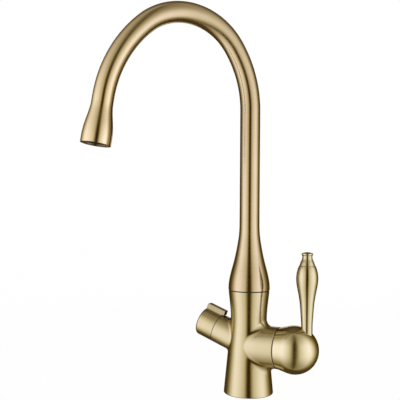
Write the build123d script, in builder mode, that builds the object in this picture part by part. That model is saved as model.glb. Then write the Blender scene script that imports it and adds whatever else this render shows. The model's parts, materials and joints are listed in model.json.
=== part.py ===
"""Three way filtered water tap: a body with two arms, a swivelling swan-neck spout, a single
lever mixer on the +X arm and a quarter-turn filter valve on the -X arm. Sizes are in millimetres.

Frame: origin at the centre of the base's underside, +Z up, the user stands at -Y.
"""

import os
from math import acos, atan2, cos, radians, sin, sqrt

from build123d import *

os.makedirs("parts", exist_ok=True)

# --- Driving dimensions -------------------------------------------------------------------------

# Body of revolution
BASE_RADIUS = 24.7
BASE_EDGE_ROUND = 1.0
CONE_HEIGHT = 42.0
CONE_TOP_RADIUS = 20.7
WAIST_HEIGHT = 76.0
WAIST_RADIUS = 17.95
BODY_TOP = 101.8
BODY_TOP_RADIUS = 20.4
BODY_TOP_SLOPE = 0.1
BASE_GASKET_INNER_RADIUS = 21.2
BASE_GASKET_OUTER_RADIUS = 23.2
BASE_GASKET_THICKNESS = 1.5

# Inlets and fixing studs in the underside
INLET_THREAD_RADIUS = 5.0
INLET_THREAD_DEPTH = 12.0
STUD_HOLE_RADIUS = 4.0
STUD_HOLE_DEPTH = 16.0
MIXER_INLET_X = -1.0
MIXER_INLET_SPACING = 25.0
FILTER_INLET_X = -13.0
STUD_X = 12.5
STUD_SPACING = 17.0
WATERWAY_RADIUS = 2.5
MIXED_RISER_Y = 8.8
MIXED_RISER_LENGTH = 12.0

# Mixer arm, level along +X
ARM_HEIGHT = 47.6
ARM_ROOT_RADIUS = 19.2
ARM_RADIUS = 20.3
ARM_TAPER_LENGTH = 17.0
ARM_LENGTH = 34.0
ARM_BLEND = 7.0

# Filter arm, rising along -X
FILTER_ARM_HEIGHT = 48.8
FILTER_ARM_RISE = 20.0
FILTER_ARM_RADIUS = 14.8
FILTER_ARM_LENGTH = 35.6
FILTER_ARM_BLEND = 4.0

# Spout swivel
SEAM_GAP = 1.1
GLIDE_RING_RECESS = 0.9
GLIDE_RUNNING_GAP = 0.06
SPIGOT_RADIUS = 13.0
SPIGOT_LENGTH = 27.0
SPIGOT_BORE_RADIUS = 9.0
SOCKET_END_GAP = 1.6
O_RING_WIDTH = 2.4
O_RING_DEPTH = 1.8
O_RING_OFFSETS = (3.0, 19.5)
O_RING_ROUND = 0.7
RETAINING_GROOVE_OFFSET = 12.0
RETAINING_GROOVE_WIDTH = 5.0
RETAINING_GROOVE_DEPTH = 1.8
RETAINING_SCREW_RADIUS = 2.5
RETAINING_SCREW_TIP_RADIUS = 1.7
RETAINING_SCREW_LENGTH = 5.0
GRUB_KEY_ACROSS = 2.5
GRUB_KEY_DEPTH = 2.0

# Spout
SPOUT_HEADING = -126.0
TUBE_RADIUS = 10.0
TUBE_WALL = 1.2
COLLAR_BASE_RADIUS = 20.6
COLLAR_HEIGHT = 70.3
COLLAR_SHOULDER = (19.95, 9.4)
COLLAR_FLANK = (15.1, 29.4)
COLLAR_NECK = (11.2, 49.4)
COLLAR_BASE_SLOPE = 0.03
COLLAR_NECK_BORE_RADIUS = 7.2
COLLAR_NECK_BORE_DEPTH = 14.0
BEND_START_HEIGHT = 282.0
BEND_RADII = (108.5, 62.8, 121.0)
BEND_ANGLES = (35.0, 96.2, 39.8)
DROP_LENGTH = 5.4
TUBE_SPIGOT_LENGTH = 10.0

# Nozzle, measured along its own axis
NOZZLE_LENGTH = 37.8
NOZZLE_SPIGOT_LENGTH = 4.0
NOZZLE_START_SLOPE = 0.02
NOZZLE_FLARE_START = (10.4, 11.2)
NOZZLE_FLARE_MIDDLE = (21.4, 13.2)
NOZZLE_FLARE_END = (31.0, 14.0)
NOZZLE_MOUTH_RADIUS = 14.0
NOZZLE_RIM_WALL = 2.0
NOZZLE_NECK_BORE_RADIUS = 7.4
NOZZLE_NECK_BORE_LENGTH = 12.0
NOZZLE_LEDGE_BORE_RADIUS = 10.4
AERATOR_DEPTH = 13.0
AERATOR_RECESS = 1.6
AERATOR_WALL = 1.3
AERATOR_LIP = 1.0
AERATOR_INSERT_THICKNESS = 6.0
AERATOR_HOLE_RADIUS = 0.85
AERATOR_INNER_ROW_RADIUS = 6.0
AERATOR_INNER_HOLES = 12
AERATOR_OUTER_ROW_RADIUS = 8.4
AERATOR_OUTER_HOLES = 18
AERATOR_SEAL_THICKNESS = 1.5

# Filtered water line
FILTER_TUBE_RADIUS = 3.0
FILTER_TUBE_BORE_RADIUS = 2.0
FILTER_TUBE_IN_NIPPLE = 5.0
NIPPLE_RADIUS = 4.2
NIPPLE_FLANGE_RADIUS = 5.0
NIPPLE_FLANGE_THICKNESS = 1.2
NIPPLE_PROJECTION = 1.0
TRANSFER_SOCKET_RADIUS = 5.2
TRANSFER_SOCKET_HEIGHT = 10.0
TRANSFER_SOCKET_SHANK_RADIUS = 4.2
TRANSFER_SOCKET_SHANK_LENGTH = 5.0
TRANSFER_SOCKET_FLOOR = 1.0
TRANSFER_SEAL_OFFSET = 6.0
TRANSFER_SEAL_WIDTH = 2.0
TRANSFER_SEAL_DEPTH = 1.2

# Mixer cartridge, set back from the arm's end
CAVITY_DEPTH = 31.0
CAVITY_RADIUS = 12.7
NUT_THREAD_RADIUS = 14.0
NUT_SETBACK = 9.0
NUT_LENGTH = 6.0
NUT_BORE_RADIUS = 11.6
NUT_NOTCH_WIDTH = 3.0
NUT_NOTCH_DEPTH = 2.0
NUT_NOTCHES = 4
PORT_RADIUS = 2.5
PORT_SEAL_WALL = 1.3
PORT_SEAL_HEIGHT = 1.8
PORT_SEAL_SQUEEZE_GAP = 0.5
MIXER_PORT_SIDE = 5.9
MIXER_PORT_DROP = 3.6
MIXED_PORT_RISE = 6.4
CARTRIDGE_BASE_THICKNESS = 3.0
FIXED_DISC_THICKNESS = 2.8
MOVING_DISC_THICKNESS = 2.0
MOVING_DISC_RADIUS = 8.2
MIXING_RECESS_RADIUS = 4.6
MIXING_RECESS_DEPTH = 0.9
LAPPED_GAP = 0.02
HOUSING_WALL = 2.1
HOUSING_NOSE_LENGTH = 3.0
HOUSING_LIP_RADIUS = 9.0
HOUSING_LIP_THICKNESS = 1.8
HOUSING_SEAL_SETBACK = 20.0
HOUSING_SEAL_WIDTH = 2.2
HOUSING_SEAL_DEPTH = 1.2
CARRIER_LENGTH = 3.7
CARRIER_HEIGHT = 6.8
CARRIER_FLOOR = 0.9
ROTOR_GAP = 0.3
ROTOR_SLOT_ABOVE = 5.4
ROTOR_SLOT_BELOW = 6.9

# Lever pivot and stem
PIVOT_SETBACK = 15.5
PIVOT_PIN_RADIUS = 1.5
PIVOT_PIN_LENGTH = 18.8
STEM_SIZE = 7.0
STEM_EYE_RADIUS = 3.1
STEM_LENGTH = 27.5
FINGER_REACH = 4.6
FINGER_RADIUS = 1.5
FINGER_NECK = 1.6

# Handle hub: a skirt that widens into a ball
HUB_RADIUS = 20.3
HUB_SKIRT_EDGE = 0.45
HUB_SKIRT_LAP = 0.1
BALL_CENTRE_OFFSET = 14.7
BALL_RADIUS = 23.35
HUB_SWING_GAP = 0.6
HUB_POCKET_RADIUS = 17.3
HUB_POCKET_DEPTH = 10.1
HUB_BOSS_RADIUS = 7.5
HUB_BOSS_SETBACK = 3.3
HUB_SCREW_OFFSET = 11.6
HUB_SCREW_RADIUS = 2.5
HUB_SCREW_LENGTH = 8.0
HUB_PLUG_LENGTH = 3.0
HUB_PLUG_RECESS = 0.4

# Lever grip and finial, standing on the ball
LEVER_FROM_BALL = 12.3
LEVER_SEAT_RISE = 14.6
LEVER_FOOT_RADIUS = 5.4
LEVER_FOOT_HEIGHT = 9.0
GRIP_STALK = (5.95, 18.8)
GRIP_SWELL_START = (7.0, 31.8)
GRIP_SWELL_MIDDLE = (9.2, 44.6)
GRIP_BULGE = (10.5, 56.1)
GRIP_LENGTH = 66.9
GRIP_TOP_RADIUS = 8.0
GRIP_TOP_SLOPE = -0.5
FINIAL_GAP = 0.2
FINIAL_STEP = 0.25
FINIAL_SHOULDER = (6.5, 3.4)
FINIAL_NECK_RADIUS = 4.85
FINIAL_NECK_RISE = 5.1
FINIAL_NECK_LENGTH = 1.1
FINIAL_CAP_RADIUS = 5.5
FINIAL_CAP_FLARE = 1.1
FINIAL_CAP_LENGTH = 1.2
FINIAL_DOME_RISE = 1.3
LEVER_STUD_RADIUS = 3.0
LEVER_STUD_IN_BALL = 9.0
LEVER_STUD_IN_GRIP = 14.0
FINIAL_TENON_RADIUS = 2.5
FINIAL_TENON_LENGTH = 8.0

# Filter valve, set back from the filter arm's end
VALVE_CAVITY_DEPTH = 23.1
VALVE_CAVITY_RADIUS = 10.2
VALVE_SEAL_THICKNESS = 1.2
VALVE_SEAT_RADIUS = 3.2
VALVE_SEAT_DEPTH = 5.0
VALVE_OUTLET_SETBACK = 19.1
VALVE_LOWER_RADIUS = 8.6
VALVE_COLLAR_SETBACK = 13.1
VALVE_END_RECESS = 2.2
VALVE_BORE_RADIUS = 7.0
VALVE_WINDOW_RADIUS = 1.5
FILTER_DISC_THICKNESS = 2.0
FILTER_DISC_PORT_RADIUS = 1.8
FILTER_DISC_PORT_OFFSET = 3.5
SPINDLE_HEAD_LENGTH = 2.5
SPINDLE_RADIUS = 4.0
SPINDLE_PROJECTION = 11.4
SPINDLE_SEAL_WIDTH = 2.0
SPINDLE_SEAL_DEPTH = 1.3
SPINDLE_SEAL_SETBACK = 8.6
CIRCLIP_THICKNESS = 0.9
CIRCLIP_RADIUS = 6.3
CIRCLIP_GROOVE_DEPTH = 0.7
CIRCLIP_GAP = 0.1
CIRCLIP_OPENING = 4.0

# Filter knob and its thumb fin
KNOB_GAP = 0.6
KNOB_RADIUS = 14.8
KNOB_LENGTH = 19.6
KNOB_EDGE_ROUND = 2.8
KNOB_POCKET_RADIUS = 10.6
KNOB_POCKET_DEPTH = 2.6
KNOB_SCREW_OFFSET = 7.3
KNOB_SCREW_RADIUS = 2.0
KNOB_SCREW_LENGTH = 5.0
FIN_THICKNESS = 6.4
FIN_RISE = 5.2
FIN_ROOT_DEPTH = 2.5
FIN_OVERHANG = 1.8
FIN_END_INSET = 1.0
FIN_CLEARANCE = 0.5
KNOB_KEY_ACROSS = 2.0
FIN_END_ROUND = 1.4
FIN_EDGE_ROUND = 0.5

# Clearances between pieces that fit together
RUNNING_FIT = 0.08
SEATED_FIT = 0.03
END_FLOAT = 0.25

# --- Frames and places worked out from the driving dimensions -----------------------------------

cavity_floor = ARM_LENGTH - CAVITY_DEPTH
nut_start = ARM_LENGTH - NUT_SETBACK
housing_nose_end = nut_start + HOUSING_NOSE_LENGTH
housing_seal_start = ARM_LENGTH - HOUSING_SEAL_SETBACK
pivot_position = ARM_LENGTH - PIVOT_SETBACK
stem_end = pivot_position + STEM_LENGTH
ball_centre = ARM_LENGTH + BALL_CENTRE_OFFSET
lever_position = ball_centre + LEVER_FROM_BALL

spout_plane = Plane(
    origin=(0, 0, 0),
    x_dir=(cos(radians(SPOUT_HEADING)), sin(radians(SPOUT_HEADING)), 0),
    z_dir=(sin(radians(SPOUT_HEADING)), -cos(radians(SPOUT_HEADING)), 0),
)
arm_plane = Plane(origin=(0, 0, ARM_HEIGHT), x_dir=(0, 1, 0), z_dir=(1, 0, 0))
arm_top_plane = Plane(origin=(0, 0, ARM_HEIGHT), x_dir=(1, 0, 0), z_dir=(0, 0, 1))
arm_axis = Axis((0, 0, ARM_HEIGHT), (1, 0, 0))
filter_direction = Vector(-cos(radians(FILTER_ARM_RISE)), 0, sin(radians(FILTER_ARM_RISE)))
filter_upward = Vector(sin(radians(FILTER_ARM_RISE)), 0, cos(radians(FILTER_ARM_RISE)))
filter_origin = Vector(0, 0, FILTER_ARM_HEIGHT)
filter_plane = Plane(origin=filter_origin, x_dir=(0, 1, 0), z_dir=filter_direction)
filter_side_plane = Plane(origin=filter_origin, x_dir=filter_direction, z_dir=(0, 1, 0))
filter_axis = Axis(filter_origin, filter_direction)
lever_plane = Plane(origin=(lever_position, 0, 0), x_dir=(1, 0, 0), z_dir=(0, 0, 1))
lever_side_plane = Plane(origin=(lever_position, 0, 0), x_dir=(0, 1, 0), z_dir=(1, 0, 0))
lever_axis = Axis((lever_position, 0, 0), (0, 0, 1))

collar_bottom = BODY_TOP + SEAM_GAP
collar_top = collar_bottom + COLLAR_HEIGHT
tube_bore_radius = TUBE_RADIUS - TUBE_WALL
tube_spigot_radius = tube_bore_radius - SEATED_FIT
socket_radius = SPIGOT_RADIUS + RUNNING_FIT
spigot_bottom = collar_bottom - SPIGOT_LENGTH
socket_floor = spigot_bottom - SOCKET_END_GAP
retaining_height = collar_bottom - RETAINING_GROOVE_OFFSET
retaining_groove_floor = SPIGOT_RADIUS - RETAINING_GROOVE_DEPTH
transfer_bottom = socket_floor - TRANSFER_SOCKET_SHANK_LENGTH
transfer_top = socket_floor + TRANSFER_SOCKET_HEIGHT
transfer_seal_start = socket_floor + TRANSFER_SEAL_OFFSET
filter_tube_bottom = socket_floor + TRANSFER_SOCKET_FLOOR + END_FLOAT
mouth_bore_radius = NOZZLE_MOUTH_RADIUS - NOZZLE_RIM_WALL
aerator_start = NOZZLE_LENGTH - AERATOR_DEPTH
housing_start = aerator_start + AERATOR_SEAL_THICKNESS
housing_end = NOZZLE_LENGTH - AERATOR_RECESS
aerator_bore_radius = mouth_bore_radius - SEATED_FIT - AERATOR_WALL
insert_end = housing_end - AERATOR_LIP
insert_start = insert_end - AERATOR_INSERT_THICKNESS
filter_tube_end = insert_start - NIPPLE_FLANGE_THICKNESS + FILTER_TUBE_IN_NIPPLE
aerator_rows = (
    (AERATOR_INNER_ROW_RADIUS, AERATOR_INNER_HOLES),
    (AERATOR_OUTER_ROW_RADIUS, AERATOR_OUTER_HOLES),
)

base_start = cavity_floor + PORT_SEAL_SQUEEZE_GAP
base_end = base_start + CARTRIDGE_BASE_THICKNESS
fixed_disc_end = base_end + FIXED_DISC_THICKNESS
moving_disc_start = fixed_disc_end + LAPPED_GAP
moving_disc_end = moving_disc_start + MOVING_DISC_THICKNESS
housing_radius = CAVITY_RADIUS - RUNNING_FIT
housing_bore_radius = housing_radius - HOUSING_WALL
housing_nose_radius = NUT_BORE_RADIUS - RUNNING_FIT
rotor_radius = housing_bore_radius - RUNNING_FIT
rotor_start = moving_disc_end + ROTOR_GAP
rotor_end = housing_nose_end - HOUSING_LIP_THICKNESS - RUNNING_FIT
slot_half_width = STEM_SIZE / 2 + RUNNING_FIT
port_seal_radius = PORT_RADIUS + PORT_SEAL_WALL
mixer_ports = (
    (-MIXER_PORT_SIDE, -MIXER_PORT_DROP),
    (MIXER_PORT_SIDE, -MIXER_PORT_DROP),
    (0, MIXED_PORT_RISE),
)

# The hub's skirt and the arm's end lie on two spheres about the lever pivot, so they clear each
# other at every tilt.
skirt_start = ARM_LENGTH - HUB_SKIRT_LAP
hub_boss_start = skirt_start + HUB_BOSS_SETBACK
hub_pocket_end = skirt_start + HUB_POCKET_DEPTH
hub_screw_position = ARM_LENGTH + HUB_SCREW_OFFSET
skirt_edge_radius = HUB_RADIUS - HUB_SKIRT_EDGE
hub_swing_radius = sqrt((skirt_start - pivot_position) ** 2 + skirt_edge_radius**2)
arm_swing_radius = hub_swing_radius - HUB_SWING_GAP
arm_bevel_start = pivot_position + sqrt(arm_swing_radius**2 - ARM_RADIUS**2)
arm_face_radius = sqrt(arm_swing_radius**2 - (ARM_LENGTH - pivot_position) ** 2)
pocket_start = pivot_position + sqrt(hub_swing_radius**2 - HUB_POCKET_RADIUS**2)
swing_middle_radius = (skirt_edge_radius + HUB_POCKET_RADIUS) / 2
swing_middle = pivot_position + sqrt(hub_swing_radius**2 - swing_middle_radius**2)
ball_distance = sqrt((ball_centre - skirt_start) ** 2 + HUB_RADIUS**2)
skirt_lean = atan2(ball_centre - skirt_start, HUB_RADIUS) - acos(BALL_RADIUS / ball_distance)
skirt_end = ball_centre - BALL_RADIUS * sin(skirt_lean)
skirt_end_radius = BALL_RADIUS * cos(skirt_lean)
ball_surface_at_screw = sqrt(BALL_RADIUS**2 - (ball_centre - hub_screw_position) ** 2)

hub_screw_plane = Plane(origin=(hub_screw_position, 0, ARM_HEIGHT), z_dir=(0, 1, 0))
hub_screw_start = STEM_SIZE / 2 + RUNNING_FIT
pin_start = (pivot_position, -PIVOT_PIN_LENGTH / 2, ARM_HEIGHT)
pin_end = (pivot_position, PIVOT_PIN_LENGTH / 2, ARM_HEIGHT)

lever_seat = ARM_HEIGHT + LEVER_SEAT_RISE
grip_top = lever_seat + GRIP_LENGTH
grip_points = [
    (radius, lever_seat + rise)
    for radius, rise in (GRIP_STALK, GRIP_SWELL_START, GRIP_SWELL_MIDDLE, GRIP_BULGE)
]
finial_bottom = grip_top + FINIAL_GAP
finial_shoulder_height = finial_bottom + FINIAL_SHOULDER[1]
finial_neck_height = finial_shoulder_height + FINIAL_NECK_RISE
finial_neck_top = finial_neck_height + FINIAL_NECK_LENGTH
finial_cap_bottom = finial_neck_top + FINIAL_CAP_FLARE
finial_cap_edge = finial_cap_bottom + FINIAL_CAP_LENGTH
finial_top = finial_cap_edge + FINIAL_DOME_RISE
valve_floor = FILTER_ARM_LENGTH - VALVE_CAVITY_DEPTH
valve_outlet = FILTER_ARM_LENGTH - VALVE_OUTLET_SETBACK
valve_collar_start = FILTER_ARM_LENGTH - VALVE_COLLAR_SETBACK
valve_end = FILTER_ARM_LENGTH - VALVE_END_RECESS
valve_start = valve_floor + VALVE_SEAL_THICKNESS
filter_moving_disc_start = valve_start + FILTER_DISC_THICKNESS + LAPPED_GAP
spindle_start = filter_moving_disc_start + FILTER_DISC_THICKNESS
spindle_head_end = spindle_start + SPINDLE_HEAD_LENGTH
circlip_start = valve_end + CIRCLIP_GAP
circlip_end = circlip_start + CIRCLIP_THICKNESS
spindle_seal_start = FILTER_ARM_LENGTH - SPINDLE_SEAL_SETBACK
spindle_end = FILTER_ARM_LENGTH + SPINDLE_PROJECTION
knob_start = FILTER_ARM_LENGTH + KNOB_GAP
knob_end = knob_start + KNOB_LENGTH
knob_screw_position = knob_start + KNOB_SCREW_OFFSET
fin_start = FILTER_ARM_LENGTH - FIN_OVERHANG
fin_end = knob_end - FIN_END_INSET
fin_root = KNOB_RADIUS - FIN_ROOT_DEPTH
fin_top = KNOB_RADIUS + FIN_RISE
fin_underside = FILTER_ARM_RADIUS + FIN_CLEARANCE
knob_screw_plane = Plane(
    origin=filter_origin + filter_direction * knob_screw_position,
    x_dir=filter_upward,
    z_dir=(0, 1, 0),
)
knob_screw_start = SPINDLE_RADIUS + RUNNING_FIT


def on_filter_arm(along, above=0.0):
    """The point at a distance along the filter arm's axis and above it."""
    return filter_origin + filter_direction * along + filter_upward * above


def rod(start, end, radius, mode=Mode.ADD):
    """A round bar or a drilled hole between two points."""
    line = Vector(*end) - Vector(*start)
    with Locations(Plane(origin=start, z_dir=line)):
        Cylinder(radius, line.length, align=(Align.CENTER, Align.CENTER, Align.MIN), mode=mode)


def drill(start, end, radius):
    """A drilled hole between two points."""
    rod(start, end, radius, Mode.SUBTRACT)


def slug(plane, start, end, radius, mode=Mode.ADD):
    """A cylinder along a plane's normal, between two distances from the plane."""
    with Locations(plane.offset(start)):
        Cylinder(radius, end - start, align=(Align.CENTER, Align.CENTER, Align.MIN), mode=mode)


def bore(plane, start, end, radius):
    """A round hole along a plane's normal, between two distances from the plane."""
    slug(plane, start, end, radius, Mode.SUBTRACT)


def ring(plane, start, end, outer, inner):
    """A ring along a plane's normal, in a piece that holds nothing else there."""
    slug(plane, start, end, outer)
    bore(plane, start, end, inner)


def groove(plane, start, end, outer, inner):
    """An annular groove along a plane's normal."""
    with Locations(plane.offset(start)):
        blank = Cylinder(
            outer, end - start, align=(Align.CENTER, Align.CENTER, Align.MIN), mode=Mode.PRIVATE
        )
        core = Cylinder(
            inner, end - start, align=(Align.CENTER, Align.CENTER, Align.MIN), mode=Mode.PRIVATE
        )
    add(blank - core, mode=Mode.SUBTRACT)


def hex_socket(plane, start, end, across):
    """A hexagon key socket along a plane's normal."""
    with BuildSketch(plane.offset(start)) as key:
        RegularPolygon(across / 2, 6, major_radius=False)
    extrude(key.sketch, amount=end - start, mode=Mode.SUBTRACT)


def finish(builder, name):
    """Names a finished piece and writes it."""
    builder.part.label = name
    export_step(builder.part, f"parts/{name}.step")


# --- Body and its base --------------------------------------------------------------------------

with BuildPart() as body_casting:
    with BuildSketch(Plane.YZ):
        with BuildLine():
            cone = Line((BASE_RADIUS, 0), (CONE_TOP_RADIUS, CONE_HEIGHT))
            waist = Spline(
                cone @ 1,
                (WAIST_RADIUS, WAIST_HEIGHT),
                (BODY_TOP_RADIUS, BODY_TOP),
                tangents=(cone % 1, (BODY_TOP_SLOPE, 1)),
            )
            Polyline(waist @ 1, (0, BODY_TOP), (0, 0), cone @ 0)
        make_face()
    revolve(axis=Axis.Z)
    with BuildSketch(arm_top_plane):
        with BuildLine():
            root = TangentArc(
                (ARM_TAPER_LENGTH, ARM_RADIUS),
                (0, ARM_ROOT_RADIUS),
                tangent=(-1, 0),
            )
            Polyline(
                root @ 0,
                (arm_bevel_start, ARM_RADIUS),
                (ARM_LENGTH, arm_face_radius),
                (ARM_LENGTH, 0),
                (0, 0),
                root @ 1,
            )
        make_face()
    revolve(axis=arm_axis)
    fillet(body_casting.edges(Select.LAST).filter_by(GeomType.BSPLINE), ARM_BLEND)
    slug(filter_plane, 0, FILTER_ARM_LENGTH, FILTER_ARM_RADIUS)
    fillet(body_casting.edges(Select.LAST).filter_by(GeomType.BSPLINE), FILTER_ARM_BLEND)
    fillet(body_casting.edges().group_by(Axis.Z)[0], BASE_EDGE_ROUND)

    # Spout socket and the transfer socket's seat below it
    bore(Plane.XY, socket_floor, BODY_TOP, socket_radius)
    bore(Plane.XY, transfer_bottom, socket_floor, TRANSFER_SOCKET_SHANK_RADIUS + SEATED_FIT)
    drill(
        (0, 0, retaining_height),
        (0, BASE_RADIUS, retaining_height),
        RETAINING_SCREW_RADIUS + SEATED_FIT,
    )

    # Mixer cartridge cavity, its ports and the hot and cold ways
    bore(arm_plane, cavity_floor, ARM_LENGTH, CAVITY_RADIUS)
    bore(arm_plane, nut_start, ARM_LENGTH, NUT_THREAD_RADIUS)
    for side, rise in mixer_ports:
        port = (MIXER_INLET_X, side, ARM_HEIGHT + rise)
        drill((base_start, side, ARM_HEIGHT + rise), port, WATERWAY_RADIUS)
    for side in (-1, 1):
        inlet_y = side * MIXER_INLET_SPACING / 2
        inlet_top = (MIXER_INLET_X, inlet_y, INLET_THREAD_DEPTH)
        drill((MIXER_INLET_X, inlet_y, 0), inlet_top, INLET_THREAD_RADIUS)
        drill(
            inlet_top,
            (MIXER_INLET_X, side * MIXER_PORT_SIDE, ARM_HEIGHT - MIXER_PORT_DROP),
            WATERWAY_RADIUS,
        )
        stud = (STUD_X, side * STUD_SPACING / 2)
        drill((*stud, 0), (*stud, STUD_HOLE_DEPTH), STUD_HOLE_RADIUS)
    riser_foot = (MIXER_INLET_X, MIXED_RISER_Y, socket_floor - MIXED_RISER_LENGTH)
    drill((MIXER_INLET_X, 0, ARM_HEIGHT + MIXED_PORT_RISE), riser_foot, WATERWAY_RADIUS)
    drill(riser_foot, (MIXER_INLET_X, MIXED_RISER_Y, socket_floor), WATERWAY_RADIUS)

    # Filter valve cavity, its inlet below and its outlet to the transfer socket
    bore(filter_plane, valve_floor, FILTER_ARM_LENGTH, VALVE_CAVITY_RADIUS)
    bore(filter_plane, valve_floor - VALVE_SEAT_DEPTH, valve_floor, VALVE_SEAT_RADIUS)
    drill((FILTER_INLET_X, 0, 0), (FILTER_INLET_X, 0, INLET_THREAD_DEPTH), INLET_THREAD_RADIUS)
    drill(
        (FILTER_INLET_X, 0, INLET_THREAD_DEPTH),
        on_filter_arm(valve_floor - VALVE_SEAT_DEPTH / 2),
        WATERWAY_RADIUS,
    )
    drill(
        on_filter_arm(valve_outlet, VALVE_CAVITY_RADIUS - WATERWAY_RADIUS),
        (0, 0, transfer_bottom),
        WATERWAY_RADIUS,
    )
    groove(Plane.XY, 0, BASE_GASKET_THICKNESS, BASE_GASKET_OUTER_RADIUS, BASE_GASKET_INNER_RADIUS)
finish(body_casting, "body_casting")

with BuildPart() as base_gasket:
    ring(
        Plane.XY,
        0,
        BASE_GASKET_THICKNESS,
        BASE_GASKET_OUTER_RADIUS - SEATED_FIT,
        BASE_GASKET_INNER_RADIUS + SEATED_FIT,
    )
finish(base_gasket, "base_gasket")

# --- Spout swivel -------------------------------------------------------------------------------

with BuildPart() as spout_glide_ring:
    ring(
        Plane.XY,
        BODY_TOP,
        collar_bottom - GLIDE_RUNNING_GAP,
        BODY_TOP_RADIUS - GLIDE_RING_RECESS,
        socket_radius + END_FLOAT,
    )
finish(spout_glide_ring, "spout_glide_ring")

screw_tip = retaining_groove_floor + END_FLOAT
screw_shoulder = socket_radius + END_FLOAT
screw_plane = Plane(origin=(0, 0, retaining_height), z_dir=(0, 1, 0))
with BuildPart() as spout_retaining_screw:
    slug(screw_plane, screw_tip, screw_shoulder, RETAINING_SCREW_TIP_RADIUS)
    slug(screw_plane, screw_shoulder, screw_shoulder + RETAINING_SCREW_LENGTH, RETAINING_SCREW_RADIUS)
    key_end = screw_shoulder + RETAINING_SCREW_LENGTH
    hex_socket(screw_plane, key_end - GRUB_KEY_DEPTH, key_end, GRUB_KEY_ACROSS)
finish(spout_retaining_screw, "spout_retaining_screw")

with BuildPart() as transfer_socket:
    slug(Plane.XY, transfer_bottom, socket_floor, TRANSFER_SOCKET_SHANK_RADIUS)
    slug(Plane.XY, socket_floor, transfer_top, TRANSFER_SOCKET_RADIUS)
    bore(Plane.XY, transfer_bottom, transfer_top, FILTER_TUBE_BORE_RADIUS)
    bore(Plane.XY, filter_tube_bottom - END_FLOAT, transfer_top, FILTER_TUBE_RADIUS + RUNNING_FIT)
    bore(
        Plane.XY,
        transfer_seal_start,
        transfer_seal_start + TRANSFER_SEAL_WIDTH,
        FILTER_TUBE_RADIUS + TRANSFER_SEAL_DEPTH,
    )
finish(transfer_socket, "transfer_socket")

with BuildPart() as transfer_seal:
    ring(
        Plane.XY,
        transfer_seal_start + SEATED_FIT,
        transfer_seal_start + TRANSFER_SEAL_WIDTH - SEATED_FIT,
        FILTER_TUBE_RADIUS + TRANSFER_SEAL_DEPTH - SEATED_FIT,
        FILTER_TUBE_RADIUS + SEATED_FIT,
    )
finish(transfer_seal, "transfer_seal")

# --- Spout --------------------------------------------------------------------------------------

with BuildPart() as spout_collar:
    with BuildSketch(Plane.YZ):
        with BuildLine():
            belly = Spline(
                (COLLAR_BASE_RADIUS, collar_bottom),
                (COLLAR_SHOULDER[0], collar_bottom + COLLAR_SHOULDER[1]),
                (COLLAR_FLANK[0], collar_bottom + COLLAR_FLANK[1]),
                (COLLAR_NECK[0], collar_bottom + COLLAR_NECK[1]),
                (TUBE_RADIUS, collar_top),
                tangents=((COLLAR_BASE_SLOPE, 1), (0, 1)),
            )
            Polyline(
                belly @ 1,
                (tube_spigot_radius, collar_top),
                (tube_spigot_radius, collar_top + TUBE_SPIGOT_LENGTH),
                (COLLAR_NECK_BORE_RADIUS, collar_top + TUBE_SPIGOT_LENGTH),
                (COLLAR_NECK_BORE_RADIUS, collar_top - COLLAR_NECK_BORE_DEPTH),
                (SPIGOT_BORE_RADIUS, collar_top - COLLAR_NECK_BORE_DEPTH),
                (SPIGOT_BORE_RADIUS, spigot_bottom),
                (SPIGOT_RADIUS, spigot_bottom),
                (SPIGOT_RADIUS, collar_bottom),
                belly @ 0,
            )
        make_face()
    revolve(axis=Axis.Z)
    for offset in O_RING_OFFSETS:
        top = collar_bottom - offset
        groove(Plane.XY, top - O_RING_WIDTH, top, socket_radius, SPIGOT_RADIUS - O_RING_DEPTH)
    groove(
        Plane.XY,
        retaining_height - RETAINING_GROOVE_WIDTH / 2,
        retaining_height + RETAINING_GROOVE_WIDTH / 2,
        socket_radius,
        retaining_groove_floor,
    )
finish(spout_collar, "spout_collar")

with BuildPart() as spigot_o_rings:
    for offset in O_RING_OFFSETS:
        top = collar_bottom - offset
        ring(
            Plane.XY,
            top - O_RING_WIDTH + SEATED_FIT,
            top - SEATED_FIT,
            socket_radius - SEATED_FIT,
            SPIGOT_RADIUS - O_RING_DEPTH + SEATED_FIT,
        )
    fillet(spigot_o_rings.edges(), O_RING_ROUND)
finish(spigot_o_rings, "spigot_o_rings")


def spout_route(bottom, drop):
    """The swan neck's centreline, from a height on the tap axis to a length past the last bend."""
    with BuildLine() as route:
        bend = Line((0, bottom), (0, BEND_START_HEIGHT))
        for radius, angle in zip(BEND_RADII, BEND_ANGLES):
            bend = JernArc(bend @ 1, bend % 1, radius, -angle)
        Line(bend @ 1, bend @ 1 + bend % 1 * drop)
    return spout_plane * route.wire()


def swan_neck_tube(bottom, drop, outer, inner):
    """A round tube along the swan neck."""
    route = spout_route(bottom, drop)
    with BuildSketch(Plane(origin=route @ 0, z_dir=route % 0)) as section:
        Circle(outer)
        Circle(inner, mode=Mode.SUBTRACT)
    sweep(section.sketch, path=route)


spout_end = spout_route(collar_top, DROP_LENGTH)
nozzle_start = spout_end @ 1
nozzle_direction = spout_end % 1
nozzle_plane = Plane(origin=nozzle_start, x_dir=spout_plane.z_dir, z_dir=nozzle_direction)
nozzle_side_plane = Plane(origin=nozzle_start, x_dir=nozzle_direction, z_dir=spout_plane.z_dir)
nozzle_axis = Axis(nozzle_start, nozzle_direction)

with BuildPart() as spout_tube:
    swan_neck_tube(collar_top, DROP_LENGTH, TUBE_RADIUS, tube_bore_radius)
finish(spout_tube, "spout_tube")

with BuildPart() as inner_filter_tube:
    swan_neck_tube(
        filter_tube_bottom,
        DROP_LENGTH + filter_tube_end,
        FILTER_TUBE_RADIUS,
        FILTER_TUBE_BORE_RADIUS,
    )
finish(inner_filter_tube, "inner_filter_tube")

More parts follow.
